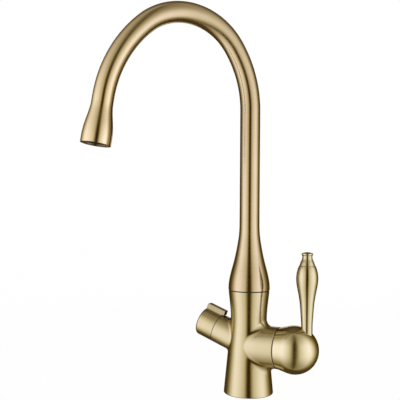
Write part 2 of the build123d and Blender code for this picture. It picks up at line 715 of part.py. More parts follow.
with BuildPart() as spout_nozzle:
    with BuildSketch(nozzle_side_plane):
        with BuildLine():
            flare = Spline(
                (0, TUBE_RADIUS),
                NOZZLE_FLARE_START,
                NOZZLE_FLARE_MIDDLE,
                NOZZLE_FLARE_END,
                (NOZZLE_LENGTH, NOZZLE_MOUTH_RADIUS),
                tangents=((1, NOZZLE_START_SLOPE), (1, 0)),
            )
            Polyline(
                flare @ 1,
                (NOZZLE_LENGTH, mouth_bore_radius),
                (aerator_start, mouth_bore_radius),
                (aerator_start, NOZZLE_LEDGE_BORE_RADIUS),
                (NOZZLE_NECK_BORE_LENGTH, NOZZLE_NECK_BORE_RADIUS),
                (-NOZZLE_SPIGOT_LENGTH, NOZZLE_NECK_BORE_RADIUS),
                (-NOZZLE_SPIGOT_LENGTH, tube_spigot_radius),
                (0, tube_spigot_radius),
                flare @ 0,
            )
        make_face()
    revolve(axis=nozzle_axis)
finish(spout_nozzle, "spout_nozzle")

# --- Outlet with its aerator --------------------------------------------------------------------

with BuildPart() as aerator_seal:
    ring(
        nozzle_plane,
        aerator_start,
        aerator_start + AERATOR_SEAL_THICKNESS,
        mouth_bore_radius - SEATED_FIT,
        NOZZLE_LEDGE_BORE_RADIUS,
    )
finish(aerator_seal, "aerator_seal")

with BuildPart() as aerator_housing:
    slug(nozzle_plane, housing_start, housing_end, mouth_bore_radius - SEATED_FIT)
    bore(nozzle_plane, housing_start, housing_end - AERATOR_LIP, aerator_bore_radius)
    bore(nozzle_plane, housing_end - AERATOR_LIP, housing_end, aerator_bore_radius - AERATOR_LIP)
finish(aerator_housing, "aerator_housing")

with BuildPart() as aerator_insert:
    slug(nozzle_plane, insert_start, insert_end, aerator_bore_radius - SEATED_FIT)
    bore(nozzle_plane, insert_start, insert_end, NIPPLE_RADIUS + SEATED_FIT)
    with Locations(nozzle_plane.offset(insert_start)):
        for row_radius, holes in aerator_rows:
            with PolarLocations(row_radius, holes):
                Cylinder(
                    AERATOR_HOLE_RADIUS,
                    AERATOR_INSERT_THICKNESS,
                    align=(Align.CENTER, Align.CENTER, Align.MIN),
                    mode=Mode.SUBTRACT,
                )
finish(aerator_insert, "aerator_insert")

with BuildPart() as filter_outlet_nipple:
    slug(nozzle_plane, insert_start - NIPPLE_FLANGE_THICKNESS, insert_start, NIPPLE_FLANGE_RADIUS)
    slug(nozzle_plane, insert_start, insert_end + NIPPLE_PROJECTION, NIPPLE_RADIUS)
    bore(
        nozzle_plane,
        insert_start - NIPPLE_FLANGE_THICKNESS,
        insert_end + NIPPLE_PROJECTION,
        FILTER_TUBE_BORE_RADIUS,
    )
    bore(
        nozzle_plane,
        insert_start - NIPPLE_FLANGE_THICKNESS,
        filter_tube_end + SEATED_FIT,
        FILTER_TUBE_RADIUS + SEATED_FIT,
    )
finish(filter_outlet_nipple, "filter_outlet_nipple")

# --- Mixer cartridge ----------------------------------------------------------------------------

with BuildPart() as cartridge_port_seals:
    for side, rise in mixer_ports:
        port_plane = Plane(origin=(0, side, ARM_HEIGHT + rise), z_dir=(1, 0, 0))
        ring(port_plane, cavity_floor, cavity_floor + PORT_SEAL_HEIGHT, port_seal_radius, PORT_RADIUS)
finish(cartridge_port_seals, "cartridge_port_seals")

with BuildPart() as cartridge_base:
    slug(arm_plane, base_start, base_end, housing_radius)
    for side, rise in mixer_ports:
        port_plane = Plane(origin=(0, side, ARM_HEIGHT + rise), z_dir=(1, 0, 0))
        bore(port_plane, base_start, base_end, PORT_RADIUS)
        bore(port_plane, base_start, cavity_floor + PORT_SEAL_HEIGHT, port_seal_radius + SEATED_FIT)
finish(cartridge_base, "cartridge_base")

with BuildPart() as fixed_ceramic_disc:
    slug(arm_plane, base_end, fixed_disc_end, housing_bore_radius - SEATED_FIT)
    for side, rise in mixer_ports:
        port_plane = Plane(origin=(0, side, ARM_HEIGHT + rise), z_dir=(1, 0, 0))
        bore(port_plane, base_end, fixed_disc_end, PORT_RADIUS)
finish(fixed_ceramic_disc, "fixed_ceramic_disc")

with BuildPart() as cartridge_housing:
    slug(arm_plane, base_end, nut_start, housing_radius)
    slug(arm_plane, nut_start, housing_nose_end, housing_nose_radius)
    bore(arm_plane, base_end, housing_nose_end - HOUSING_LIP_THICKNESS, housing_bore_radius)
    bore(arm_plane, housing_nose_end - HOUSING_LIP_THICKNESS, housing_nose_end, HOUSING_LIP_RADIUS)
    groove(
        arm_plane,
        housing_seal_start,
        housing_seal_start + HOUSING_SEAL_WIDTH,
        CAVITY_RADIUS,
        housing_radius - HOUSING_SEAL_DEPTH,
    )
finish(cartridge_housing, "cartridge_housing")

with BuildPart() as housing_seal:
    ring(
        arm_plane,
        housing_seal_start + SEATED_FIT,
        housing_seal_start + HOUSING_SEAL_WIDTH - SEATED_FIT,
        CAVITY_RADIUS - SEATED_FIT,
        housing_radius - HOUSING_SEAL_DEPTH + SEATED_FIT,
    )
finish(housing_seal, "housing_seal")

with BuildPart() as cartridge_nut:
    nut_end = nut_start + NUT_LENGTH
    ring(arm_plane, nut_start, nut_end, NUT_THREAD_RADIUS - SEATED_FIT, NUT_BORE_RADIUS)
    with Locations(arm_plane.offset(nut_end)):
        with PolarLocations(NUT_THREAD_RADIUS, NUT_NOTCHES):
            Box(
                2 * (NUT_THREAD_RADIUS - NUT_BORE_RADIUS) + NUT_NOTCH_WIDTH,
                NUT_NOTCH_WIDTH,
                2 * NUT_NOTCH_DEPTH,
                mode=Mode.SUBTRACT,
            )
finish(cartridge_nut, "cartridge_nut")

with BuildPart() as moving_ceramic_disc:
    slug(arm_plane, moving_disc_start, moving_disc_end, MOVING_DISC_RADIUS)
    bore(arm_plane, moving_disc_start, moving_disc_start + MIXING_RECESS_DEPTH, MIXING_RECESS_RADIUS)
finish(moving_ceramic_disc, "moving_ceramic_disc")

with BuildPart() as disc_carrier:
    with Locations(arm_plane.offset(moving_disc_end)):
        Box(STEM_SIZE, CARRIER_HEIGHT, CARRIER_LENGTH, align=(Align.CENTER, Align.CENTER, Align.MIN))
    with Locations(arm_plane.offset(moving_disc_end + CARRIER_FLOOR)):
        Box(
            STEM_SIZE,
            2 * (FINGER_RADIUS + RUNNING_FIT),
            CARRIER_LENGTH,
            align=(Align.CENTER, Align.CENTER, Align.MIN),
            mode=Mode.SUBTRACT,
        )
finish(disc_carrier, "disc_carrier")

with BuildPart() as cartridge_rotor:
    slug(arm_plane, rotor_start, rotor_end, rotor_radius)
    with BuildSketch(arm_plane.offset(rotor_start)):
        with Locations((0, (ROTOR_SLOT_ABOVE - ROTOR_SLOT_BELOW) / 2)):
            Rectangle(2 * slot_half_width, ROTOR_SLOT_ABOVE + ROTOR_SLOT_BELOW)
    extrude(amount=rotor_end - rotor_start, mode=Mode.SUBTRACT)
    drill(pin_start, pin_end, PIVOT_PIN_RADIUS + SEATED_FIT)
finish(cartridge_rotor, "cartridge_rotor")

with BuildPart() as lever_pivot_pin:
    rod(pin_start, pin_end, PIVOT_PIN_RADIUS)
finish(lever_pivot_pin, "lever_pivot_pin")

with BuildPart() as cartridge_stem:
    rod(
        (pivot_position, -STEM_SIZE / 2, ARM_HEIGHT),
        (pivot_position, STEM_SIZE / 2, ARM_HEIGHT),
        STEM_EYE_RADIUS,
    )
    with Locations(arm_plane.offset(pivot_position)):
        Box(
            STEM_SIZE,
            STEM_SIZE,
            stem_end - pivot_position,
            align=(Align.CENTER, Align.CENTER, Align.MIN),
        )
    finger_x = pivot_position - FINGER_REACH
    with Locations(arm_plane.offset(finger_x)):
        Box(STEM_SIZE, FINGER_NECK, FINGER_REACH, align=(Align.CENTER, Align.CENTER, Align.MIN))
    rod((finger_x, -STEM_SIZE / 2, ARM_HEIGHT), (finger_x, STEM_SIZE / 2, ARM_HEIGHT), FINGER_RADIUS)
    drill(pin_start, pin_end, PIVOT_PIN_RADIUS + RUNNING_FIT)
finish(cartridge_stem, "cartridge_stem")

# --- Lever --------------------------------------------------------------------------------------

with BuildPart() as handle_hub:
    with BuildSketch(arm_top_plane):
        with BuildLine():
            skirt = Line((skirt_start, HUB_RADIUS), (skirt_end, skirt_end_radius))
            ball = TangentArc(skirt @ 1, (ball_centre + BALL_RADIUS, 0), tangent=skirt % 1)
            swing = ThreePointArc(
                (skirt_start, skirt_edge_radius),
                (swing_middle, swing_middle_radius),
                (pocket_start, HUB_POCKET_RADIUS),
            )
            Polyline(
                swing @ 1,
                (hub_pocket_end, HUB_POCKET_RADIUS),
                (hub_pocket_end, HUB_BOSS_RADIUS),
                (hub_boss_start, HUB_BOSS_RADIUS),
                (hub_boss_start, 0),
                ball @ 1,
            )
            Line(swing @ 0, skirt @ 0)
        make_face()
    revolve(axis=arm_axis)
    with Locations(arm_plane.offset(hub_boss_start)):
        Box(
            STEM_SIZE + 2 * SEATED_FIT,
            STEM_SIZE + 2 * SEATED_FIT,
            stem_end + END_FLOAT - hub_boss_start,
            align=(Align.CENTER, Align.CENTER, Align.MIN),
            mode=Mode.SUBTRACT,
        )
    bore(lever_plane, lever_seat, ARM_HEIGHT + BALL_RADIUS, LEVER_FOOT_RADIUS + SEATED_FIT)
    stud_hole_bottom = lever_seat - LEVER_STUD_IN_BALL - END_FLOAT
    bore(lever_plane, stud_hole_bottom, lever_seat, LEVER_STUD_RADIUS + SEATED_FIT)
    bore(hub_screw_plane, 0, BALL_RADIUS, HUB_SCREW_RADIUS + SEATED_FIT)
finish(handle_hub, "handle_hub")

with BuildPart() as hub_grub_screw:
    hub_screw_end = hub_screw_start + HUB_SCREW_LENGTH
    slug(hub_screw_plane, hub_screw_start, hub_screw_end, HUB_SCREW_RADIUS)
    hex_socket(hub_screw_plane, hub_screw_end - GRUB_KEY_DEPTH, hub_screw_end, GRUB_KEY_ACROSS)
finish(hub_grub_screw, "hub_grub_screw")

with BuildPart() as hub_screw_plug:
    plug_end = ball_surface_at_screw - HUB_PLUG_RECESS
    slug(hub_screw_plane, plug_end - HUB_PLUG_LENGTH, plug_end, HUB_SCREW_RADIUS)
finish(hub_screw_plug, "hub_screw_plug")

with BuildPart() as lever_stud:
    stud_bottom = lever_seat - LEVER_STUD_IN_BALL
    slug(lever_plane, stud_bottom, lever_seat + LEVER_STUD_IN_GRIP, LEVER_STUD_RADIUS)
finish(lever_stud, "lever_stud")

with BuildPart() as lever_grip:
    with BuildSketch(lever_side_plane):
        with BuildLine():
            foot = Line(
                (LEVER_FOOT_RADIUS, lever_seat), (LEVER_FOOT_RADIUS, lever_seat + LEVER_FOOT_HEIGHT)
            )
            turning = Spline(
                foot @ 1,
                *grip_points,
                (GRIP_TOP_RADIUS, grip_top),
                tangents=((0, 1), (GRIP_TOP_SLOPE, 1)),
            )
            Polyline(turning @ 1, (0, grip_top), (0, lever_seat), foot @ 0)
        make_face()
    revolve(axis=lever_axis)
    stud_hole_top = lever_seat + LEVER_STUD_IN_GRIP + END_FLOAT
    bore(lever_plane, lever_seat, stud_hole_top, LEVER_STUD_RADIUS + SEATED_FIT)
    bore(
        lever_plane,
        finial_bottom - FINIAL_TENON_LENGTH - END_FLOAT,
        grip_top,
        FINIAL_TENON_RADIUS + SEATED_FIT,
    )
finish(lever_grip, "lever_grip")

with BuildPart() as lever_finial:
    with BuildSketch(lever_side_plane):
        with BuildLine():
            shoulder = Spline(
                (GRIP_TOP_RADIUS - FINIAL_STEP, finial_bottom),
                (FINIAL_SHOULDER[0], finial_shoulder_height),
                (FINIAL_NECK_RADIUS, finial_neck_height),
                tangents=((GRIP_TOP_SLOPE, 1), (0, 1)),
            )
            cap_edge = Polyline(
                shoulder @ 1,
                (FINIAL_NECK_RADIUS, finial_neck_top),
                (FINIAL_CAP_RADIUS, finial_cap_bottom),
                (FINIAL_CAP_RADIUS, finial_cap_edge),
            )
            dome = TangentArc((0, finial_top), cap_edge @ 1, tangent=(1, 0))
            Polyline(
                dome @ 0,
                (0, finial_bottom - FINIAL_TENON_LENGTH),
                (FINIAL_TENON_RADIUS, finial_bottom - FINIAL_TENON_LENGTH),
                (FINIAL_TENON_RADIUS, finial_bottom),
                shoulder @ 0,
            )
        make_face()
    revolve(axis=lever_axis)
finish(lever_finial, "lever_finial")

# --- Filter valve -------------------------------------------------------------------------------

with BuildPart() as filter_valve_seal:
    ring(filter_plane, valve_floor, valve_start, VALVE_LOWER_RADIUS, VALVE_SEAT_RADIUS)
finish(filter_valve_seal, "filter_valve_seal")

with BuildPart() as filter_valve_body:
    slug(filter_plane, valve_start, valve_collar_start, VALVE_LOWER_RADIUS)
    slug(filter_plane, valve_collar_start, valve_end, VALVE_CAVITY_RADIUS - SEATED_FIT)
    bore(filter_plane, valve_start, spindle_head_end + RUNNING_FIT, VALVE_BORE_RADIUS)
    bore(filter_plane, valve_start, valve_end, SPINDLE_RADIUS + RUNNING_FIT)
    window = on_filter_arm(spindle_head_end - VALVE_WINDOW_RADIUS)
    for way in (filter_upward, -filter_upward):
        drill(window, window + way * VALVE_CAVITY_RADIUS, VALVE_WINDOW_RADIUS)
finish(filter_valve_body, "filter_valve_body")

with BuildPart() as filter_fixed_disc:
    slug(filter_plane, valve_start, valve_start + FILTER_DISC_THICKNESS, VALVE_BORE_RADIUS - SEATED_FIT)
    for side in (-1, 1):
        start = on_filter_arm(valve_start) + Vector(0, side * FILTER_DISC_PORT_OFFSET, 0)
        drill(start, start + filter_direction * FILTER_DISC_THICKNESS, FILTER_DISC_PORT_RADIUS)
finish(filter_fixed_disc, "filter_fixed_disc")

with BuildPart() as filter_moving_disc:
    slug(filter_plane, filter_moving_disc_start, spindle_start, VALVE_BORE_RADIUS - RUNNING_FIT)
    for side in (-1, 1):
        start = on_filter_arm(filter_moving_disc_start, side * FILTER_DISC_PORT_OFFSET)
        drill(start, start + filter_direction * FILTER_DISC_THICKNESS, FILTER_DISC_PORT_RADIUS)
finish(filter_moving_disc, "filter_moving_disc")

with BuildPart() as filter_spindle:
    slug(filter_plane, spindle_start, spindle_head_end, VALVE_BORE_RADIUS - RUNNING_FIT)
    slug(filter_plane, spindle_head_end, spindle_end, SPINDLE_RADIUS)
    groove(
        filter_plane,
        spindle_seal_start,
        spindle_seal_start + SPINDLE_SEAL_WIDTH,
        SPINDLE_RADIUS + RUNNING_FIT,
        SPINDLE_RADIUS - SPINDLE_SEAL_DEPTH,
    )
    groove(
        filter_plane,
        circlip_start - SEATED_FIT,
        circlip_end + SEATED_FIT,
        SPINDLE_RADIUS + RUNNING_FIT,
        SPINDLE_RADIUS - CIRCLIP_GROOVE_DEPTH,
    )
finish(filter_spindle, "filter_spindle")

with BuildPart() as spindle_seal:
    ring(
        filter_plane,
        spindle_seal_start + SEATED_FIT,
        spindle_seal_start + SPINDLE_SEAL_WIDTH - SEATED_FIT,
        SPINDLE_RADIUS + RUNNING_FIT - SEATED_FIT,
        SPINDLE_RADIUS - SPINDLE_SEAL_DEPTH + SEATED_FIT,
    )
finish(spindle_seal, "spindle_seal")

with BuildPart() as spindle_circlip:
    ring(
        filter_plane,
        circlip_start,
        circlip_end,
        CIRCLIP_RADIUS,
        SPINDLE_RADIUS - CIRCLIP_GROOVE_DEPTH + SEATED_FIT,
    )
    with Locations(filter_plane.offset(circlip_start)):
        Box(
            CIRCLIP_RADIUS,
            CIRCLIP_OPENING,
            CIRCLIP_THICKNESS,
            align=(Align.MIN, Align.CENTER, Align.MIN),
            mode=Mode.SUBTRACT,
        )
finish(spindle_circlip, "spindle_circlip")

# --- Filter knob --------------------------------------------------------------------------------

with BuildPart() as filter_knob:
    slug(filter_plane, knob_start, knob_end, KNOB_RADIUS)
    rim = filter_knob.edges().filter_by(GeomType.CIRCLE).sort_by(filter_axis)[-1]
    fillet(rim, KNOB_EDGE_ROUND)
    bore(filter_plane, knob_start, knob_start + KNOB_POCKET_DEPTH, KNOB_POCKET_RADIUS)
    bore(filter_plane, knob_start, spindle_end + END_FLOAT, SPINDLE_RADIUS + SEATED_FIT)
    with BuildSketch(filter_side_plane):
        with BuildLine():
            Polyline(
                (knob_start, fin_root),
                (fin_end + SEATED_FIT, fin_root),
                (fin_end + SEATED_FIT, fin_top),
                (knob_start, fin_top),
                close=True,
            )
        make_face()
    extrude(amount=FIN_THICKNESS / 2 + SEATED_FIT, both=True, mode=Mode.SUBTRACT)
    bore(knob_screw_plane, 0, KNOB_RADIUS, KNOB_SCREW_RADIUS + SEATED_FIT)
finish(filter_knob, "filter_knob")

with BuildPart() as filter_knob_fin:
    with BuildSketch(filter_side_plane):
        with BuildLine():
            Polyline(
                (fin_start, fin_underside),
                (knob_start, fin_underside),
                (knob_start, fin_root),
                (fin_end, fin_root),
                (fin_end, fin_top),
                (fin_start, fin_top),
                close=True,
            )
        make_face()
    extrude(amount=FIN_THICKNESS / 2, both=True)
    across = filter_knob_fin.edges().filter_by(Axis.Y)
    corner = across.sort_by_distance(on_filter_arm(fin_end, fin_top))[0]
    fillet(corner, FIN_END_ROUND)
    top_face = filter_knob_fin.faces().sort_by(Axis(filter_origin, filter_upward))[-1]
    fillet(top_face.edges().filter_by(filter_axis), FIN_EDGE_ROUND)
finish(filter_knob_fin, "filter_knob_fin")

with BuildPart() as knob_grub_screw:
    knob_screw_end = knob_screw_start + KNOB_SCREW_LENGTH
    slug(knob_screw_plane, knob_screw_start, knob_screw_end, KNOB_SCREW_RADIUS)
    hex_socket(knob_screw_plane, knob_screw_end - GRUB_KEY_DEPTH, knob_screw_end, KNOB_KEY_ACROSS)
finish(knob_grub_screw, "knob_grub_screw")
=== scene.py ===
"""Three way filtered water tap in brushed satin gold. Metres, in the part's own frame."""

import math

import json

import bmesh
import bpy
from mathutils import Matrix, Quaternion, Vector

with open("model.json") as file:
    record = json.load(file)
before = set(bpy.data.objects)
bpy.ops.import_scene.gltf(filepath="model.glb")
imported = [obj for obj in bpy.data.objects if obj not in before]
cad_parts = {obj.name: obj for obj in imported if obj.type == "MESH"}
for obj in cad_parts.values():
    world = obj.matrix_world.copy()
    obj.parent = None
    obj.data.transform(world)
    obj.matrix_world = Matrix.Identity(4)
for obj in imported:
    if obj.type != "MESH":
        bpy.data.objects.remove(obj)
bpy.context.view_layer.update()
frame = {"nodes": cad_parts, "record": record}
scene = bpy.context.scene
nodes = frame["nodes"]

# --- Places on the tap that the finishes follow -------------------------------------------------

UPRIGHT = (0.0, 0.0, 1.0)
ARM_HEIGHT = 0.0476
ARM_DIRECTION = (1.0, 0.0, 0.0)
ARM_BEVEL_START = 0.0325
LEVER_OUT = 0.061

FILTER_ARM_HEIGHT = 0.0488
FILTER_ARM_RISE = math.radians(20.0)
FILTER_ARM_DIRECTION = (-math.cos(FILTER_ARM_RISE), 0.0, math.sin(FILTER_ARM_RISE))
FIN_START = 0.0338

SPOUT_HEADING = math.radians(-126.0)
SPOUT_FORWARD = Vector((math.cos(SPOUT_HEADING), math.sin(SPOUT_HEADING), 0.0))
ARCH_RADIUS = 0.076
ARCH_HEIGHT = 0.2820
NOZZLE_LEAN = math.radians(9.0)
NOZZLE_DIRECTION = SPOUT_FORWARD * math.sin(NOZZLE_LEAN) - Vector(UPRIGHT) * math.cos(NOZZLE_LEAN)

# --- Camera -------------------------------------------------------------------------------------

CAMERA_TURN = math.radians(29.0)
CAMERA_DISTANCE = 0.656
CAMERA_LEFT = 0.0497
CAMERA_HEIGHT = 0.1821
CAMERA_ROLL = math.radians(0.40)
CAMERA_LENS = 58.9
CAMERA_SENSOR = 36.0
CAMERA_SHIFT_UP = 0.025

toward_camera = Vector((math.sin(CAMERA_TURN), -math.cos(CAMERA_TURN), 0.0))
camera_right = Vector((math.cos(CAMERA_TURN), math.sin(CAMERA_TURN), 0.0))


def add_camera():
    """A level camera with a small roll, whose lens is shifted so that uprights stay upright."""
    data = bpy.data.cameras.new("photo_camera")
    data.sensor_width = CAMERA_SENSOR
    data.lens = CAMERA_LENS
    data.shift_y = CAMERA_SHIFT_UP
    camera = bpy.data.objects.new("photo_camera", data)
    sideways = toward_camera * CAMERA_DISTANCE - camera_right * CAMERA_LEFT
    camera.location = sideways + Vector((0.0, 0.0, CAMERA_HEIGHT))
    level = (-toward_camera).to_track_quat("-Z", "Y")
    roll = Quaternion((0.0, 0.0, 1.0), CAMERA_ROLL)
    camera.rotation_euler = (level @ roll).to_euler()
    scene.collection.objects.link(camera)
    scene.camera = camera


add_camera()

# --- Small node helpers -------------------------------------------------------------------------

# The middle part of a noise's values, which is spread over the range that a finish asks for.
NOISE_LOW = 0.3
NOISE_HIGH = 0.7
CLOUD_LOW = 0.25
CLOUD_HIGH = 0.75


class Tree:
    """A node tree that is written out one node at a time."""

    def __init__(self, tree):
        self.tree = tree
        tree.nodes.clear()

    def add(self, kind, inputs=None, **settings):
        """A node with its settings, then its inputs: sockets are linked, values are set."""
        node = self.tree.nodes.new(kind)
        for name, value in settings.items():
            setattr(node, name, value)
        for name, value in (inputs or {}).items():
            socket = node.inputs[name]
            if isinstance(value, bpy.types.NodeSocket):
                self.tree.links.new(value, socket)
            else:
                socket.default_value = value
        return node

    def math(self, operation, *numbers):
        return self.add("ShaderNodeMath", dict(enumerate(numbers)), operation=operation).outputs[0]

    def vector(self, operation, *vectors):
        node = self.add("ShaderNodeVectorMath", dict(enumerate(vectors)), operation=operation)
        return node.outputs["Vector"]

    def dot(self, first, second):
        node = self.add("ShaderNodeVectorMath", {0: first, 1: second}, operation="DOT_PRODUCT")
        return node.outputs["Value"]

    def scaled(self, vector, factor):
        node = self.add("ShaderNodeVectorMath", {0: vector, "Scale": factor}, operation="SCALE")
        return node.outputs["Vector"]

    def ramp(self, value, stops):
        """Colours by value, each stop a place and a colour."""
        node = self.add("ShaderNodeValToRGB", {"Fac": value})
        elements = node.color_ramp.elements
        while len(elements) < len(stops):
            elements.new(0.5)
        for element, (place, colour) in zip(elements, stops):
            element.position = place
            element.color = (*colour, 1.0)
        return node.outputs["Color"]

    def noise(self, vector, scale, detail, rough):
        inputs = {"Vector": vector, "Scale": scale, "Detail": detail, "Roughness": rough}
        return self.add("ShaderNodeTexNoise", inputs).outputs["Fac"]

    def spread(self, value, low, high, to_low, to_high):
        """A value between low and high, carried over to another range and held within it."""
        inputs = {0: value, 1: low, 2: high, 3: to_low, 4: to_high}
        return self.add("ShaderNodeMapRange", inputs).outputs[0]

    def object_place(self):
        return self.add("ShaderNodeTexCoord").outputs["Object"]

    def surface(self, shader):
        self.add("ShaderNodeOutputMaterial", {"Surface": shader.outputs[0]})


def new_material(name):
    material = bpy.data.materials.new(name)
    material.use_nodes = True
    return material, Tree(material.node_tree)


def mesh_object(name, shape):
    """An object in the scene with the mesh of a finished shape, which is freed."""
    mesh = bpy.data.meshes.new(name)
    shape.to_mesh(mesh)
    shape.free()
    made = bpy.data.objects.new(name, mesh)
    scene.collection.objects.link(made)
    return made


# --- Light --------------------------------------------------------------------------------------

# The turn from the camera's side at which a dark flag stands in front of the tap. By the turn away
# from it, as a share of half a turn: dark in front, soft panels at both sides, dark again behind.
FLAG_TURN = math.radians(-3.5)
STUDIO = (
    (0.0, (0.022, 0.009, 0.0)),
    (0.034, (0.030, 0.014, 0.0)),
    (0.054, (0.19, 0.13, 0.020)),
    (0.085, (0.56, 0.50, 0.29)),
    (0.135, (0.93, 0.91, 0.76)),
    (0.200, (1.13, 1.13, 1.10)),
    (0.280, (1.35, 1.37, 1.49)),
    (0.380, (1.50, 1.53, 1.75)),
    (0.440, (1.36, 1.37, 1.46)),
    (0.510, (0.90, 0.88, 0.78)),
    (0.590, (0.40, 0.35, 0.18)),
    (0.670, (0.13, 0.09, 0.012)),
    (0.780, (0.06, 0.035, 0.002)),
    (1.0, (0.07, 0.045, 0.010)),
)
# A low backdrop stands behind the tap: its share of the turn, and how far it rises.
BACKDROP_TURN = ((0.87, (0.0, 0.0, 0.0)), (0.93, (0.70, 0.70, 0.70)))
BACKDROP_RISE = ((0.14, (1.0, 1.0, 1.0)), (0.24, (0.0, 0.0, 0.0)))
# By height, from straight below (0) to straight above (1): how far the panels reach, and the dim
# light of the table and the ceiling.
HEIGHT_FADE = (
    (0.0, (0.20, 0.18, 0.11)),
    (0.045, (0.34, 0.32, 0.23)),
    (0.11, (0.60, 0.58, 0.50)),
    (0.18, (0.82, 0.81, 0.76)),
    (0.27, (0.96, 0.96, 0.94)),
    (0.38, (1.0, 1.0, 1.0)),
    (0.56, (1.0, 1.0, 1.0)),
    (0.68, (0.86, 0.85, 0.80)),
    (0.80, (0.60, 0.58, 0.50)),
    (0.91, (0.34, 0.32, 0.24)),
    (1.0, (0.22, 0.20, 0.13)),
)
OVERHEAD = (
    (0.0, (0.08, 0.06, 0.02)),
    (0.30, (0.010, 0.007, 0.002)),
    (0.70, (0.010, 0.007, 0.002)),
    (1.0, (0.16, 0.14, 0.10)),
)
TENT_RADIUS = 0.62
TENT_CENTRE = (0.0, 0.0, 0.18)
TENT_SEGMENTS = 48
TENT_RINGS = 24
PLAIN_WHITE = (1.0, 1.0, 1.0, 1.0)


def studio_light(tree, direction):
    """The tent's light by where it comes from."""
    along = tree.dot(direction, toward_camera)
    across = tree.dot(direction, camera_right)
    turn = tree.math("ARCTAN2", across, along)
    away = tree.math("ABSOLUTE", tree.math("SUBTRACT", turn, FLAG_TURN))
    share = tree.math("DIVIDE", away, math.pi)
    rise = tree.add("ShaderNodeSeparateXYZ", {0: direction}).outputs["Z"]
    height = tree.math("MULTIPLY_ADD", rise, 0.5, 0.5)
    panels = tree.vector(
        "MULTIPLY_ADD",
        tree.ramp(share, STUDIO),
        tree.ramp(height, HEIGHT_FADE),
        tree.ramp(height, OVERHEAD),
    )
    backdrop = tree.math(
        "MULTIPLY",
        tree.ramp(share, BACKDROP_TURN),
        tree.ramp(tree.math("ABSOLUTE", rise), BACKDROP_RISE),
    )
    return tree.vector("ADD", panels, backdrop)


def add_light_tent():
    """A soft tent round the tap, which the camera sees through."""
    shape = bmesh.new()
    bmesh.ops.create_uvsphere(
        shape, u_segments=TENT_SEGMENTS, v_segments=TENT_RINGS, radius=TENT_RADIUS
    )
    tent = mesh_object("light_tent", shape)
    tent.location = TENT_CENTRE
    material, tree = new_material("light_tent")
    direction = tree.vector("NORMALIZE", tree.object_place())
    light = studio_light(tree, direction)
    tree.surface(tree.add("ShaderNodeEmission", {"Color": light, "Strength": 1.0}))
    tent.data.materials.append(material)
    tent.visible_camera = False
    return tent


def add_white_world():
    """The plain white that the camera sees behind everything."""
    world = bpy.data.worlds.new("studio")
    scene.world = world
    world.use_nodes = True
    sky = Tree(world.node_tree)
    white = sky.add("ShaderNodeBackground", {"Color": PLAIN_WHITE, "Strength": 1.0})
    sky.add("ShaderNodeOutputWorld", {"Surface": white.outputs[0]})


tent = add_light_tent()
add_white_world()

# --- Floor --------------------------------------------------------------------------------------

FLOOR_RADIUS = 30.0
FLOOR_SEGMENTS = 96
FLOOR_DROP = 0.0004
FLOOR_GREY = (0.85, 0.85, 0.85, 1.0)
FLOOR_WHITENESS = 0.985


def add_floor():
    """A pale floor: nearly plain white to the camera, matt to the light, unseen in the gloss."""
    shape = bmesh.new()
    bmesh.ops.create_circle(shape, cap_ends=True, segments=FLOOR_SEGMENTS, radius=FLOOR_RADIUS)
    floor = mesh_object("floor", shape)
    floor.location.z = -FLOOR_DROP
    material, tree = new_material("pale_floor")
    path = tree.add("ShaderNodeLightPath")
    matt = tree.add("ShaderNodeBsdfDiffuse", {"Color": FLOOR_GREY})
    glow = tree.add("ShaderNodeEmission", {"Color": PLAIN_WHITE, "Strength": 1.0})
    whiteness = tree.math("MULTIPLY", path.outputs["Is Camera Ray"], FLOOR_WHITENESS)
    mixed = {0: whiteness, 1: matt.outputs[0], 2: glow.outputs[0]}
    tree.surface(tree.add("ShaderNodeMixShader", mixed))
    floor.data.materials.append(material)
    floor.visible_glossy = False
    floor.visible_shadow = False
    return floor


floor = add_floor()

# --- Brushed gold -------------------------------------------------------------------------------

GOLD = (0.595, 0.498, 0.306)
HUB_GOLD = (0.655, 0.563, 0.355)
LEVER_GOLD = (0.590, 0.512, 0.320)
KNOB_GOLD = (0.590, 0.490, 0.290)
FIN_GOLD = (0.455, 0.375, 0.215)
PINKER_GOLD = (0.600, 0.476, 0.308)
# The nozzle's gold is lighter than the rest: painted light.
NOZZLE_GOLD_PAINTED_LIGHT = (0.760, 0.615, 0.405)
# Along the neck's arch, from the rising limb (0) over the crown (0.5) to the falling limb (1): a
# pinker tone, with painted shade darkening the crown and painted light brightening the falling
# limb towards the nozzle.
NECK_TONES_AND_PAINTED_LIGHT = (
    (0.0, PINKER_GOLD),
    (0.12, PINKER_GOLD),
    (0.28, (0.630, 0.505, 0.328)),
    (0.48, (0.570, 0.452, 0.285)),
    (0.60, (0.600, 0.482, 0.312)),
    (0.76, (0.690, 0.556, 0.362)),
    (1.0, NOZZLE_GOLD_PAINTED_LIGHT),
)

# Fine and broad lines: how close they lie, in changes per metre, and how much each kind weighs.
FINE_LINES = 2600.0
FINE_WEIGHT = 0.65
BROAD_LINES = 620.0
BROAD_WEIGHT = 0.35
# A line changes slowly on its way round the piece.
ROUND_CHANGES = 14.0
# What the lines do to the tone, the relief and the gloss.
LINE_SHADE = 0.16
LINE_BUMP = 0.06
LINE_DEPTH = 0.00004
LINE_SMOOTHER = 0.035
LINE_ROUGHER = 0.045
# Wide clouds change the tone faintly, and small smudges the gloss.
CLOUD_CHANGES = 38.0
CLOUD_DARK = 0.965
CLOUD_LIGHT = 1.02
SMUDGE_CHANGES = 160.0
SMUDGE_SMOOTHER = 0.012
SMUDGE_ROUGHER = 0.02
GLOSS_SPREAD = 0.8
GLANCING_TINT = (1.0, 0.94, 0.78, 1.0)
# Painted shade in two dark clefts: the narrow edge over which it sets in, and how much tone is
# left in each.
PAINTED_SHADE_EDGE = 0.0003
ARM_CLEFT_PAINTED_SHADE = 0.16
FIN_CLEFT_PAINTED_SHADE = 0.06


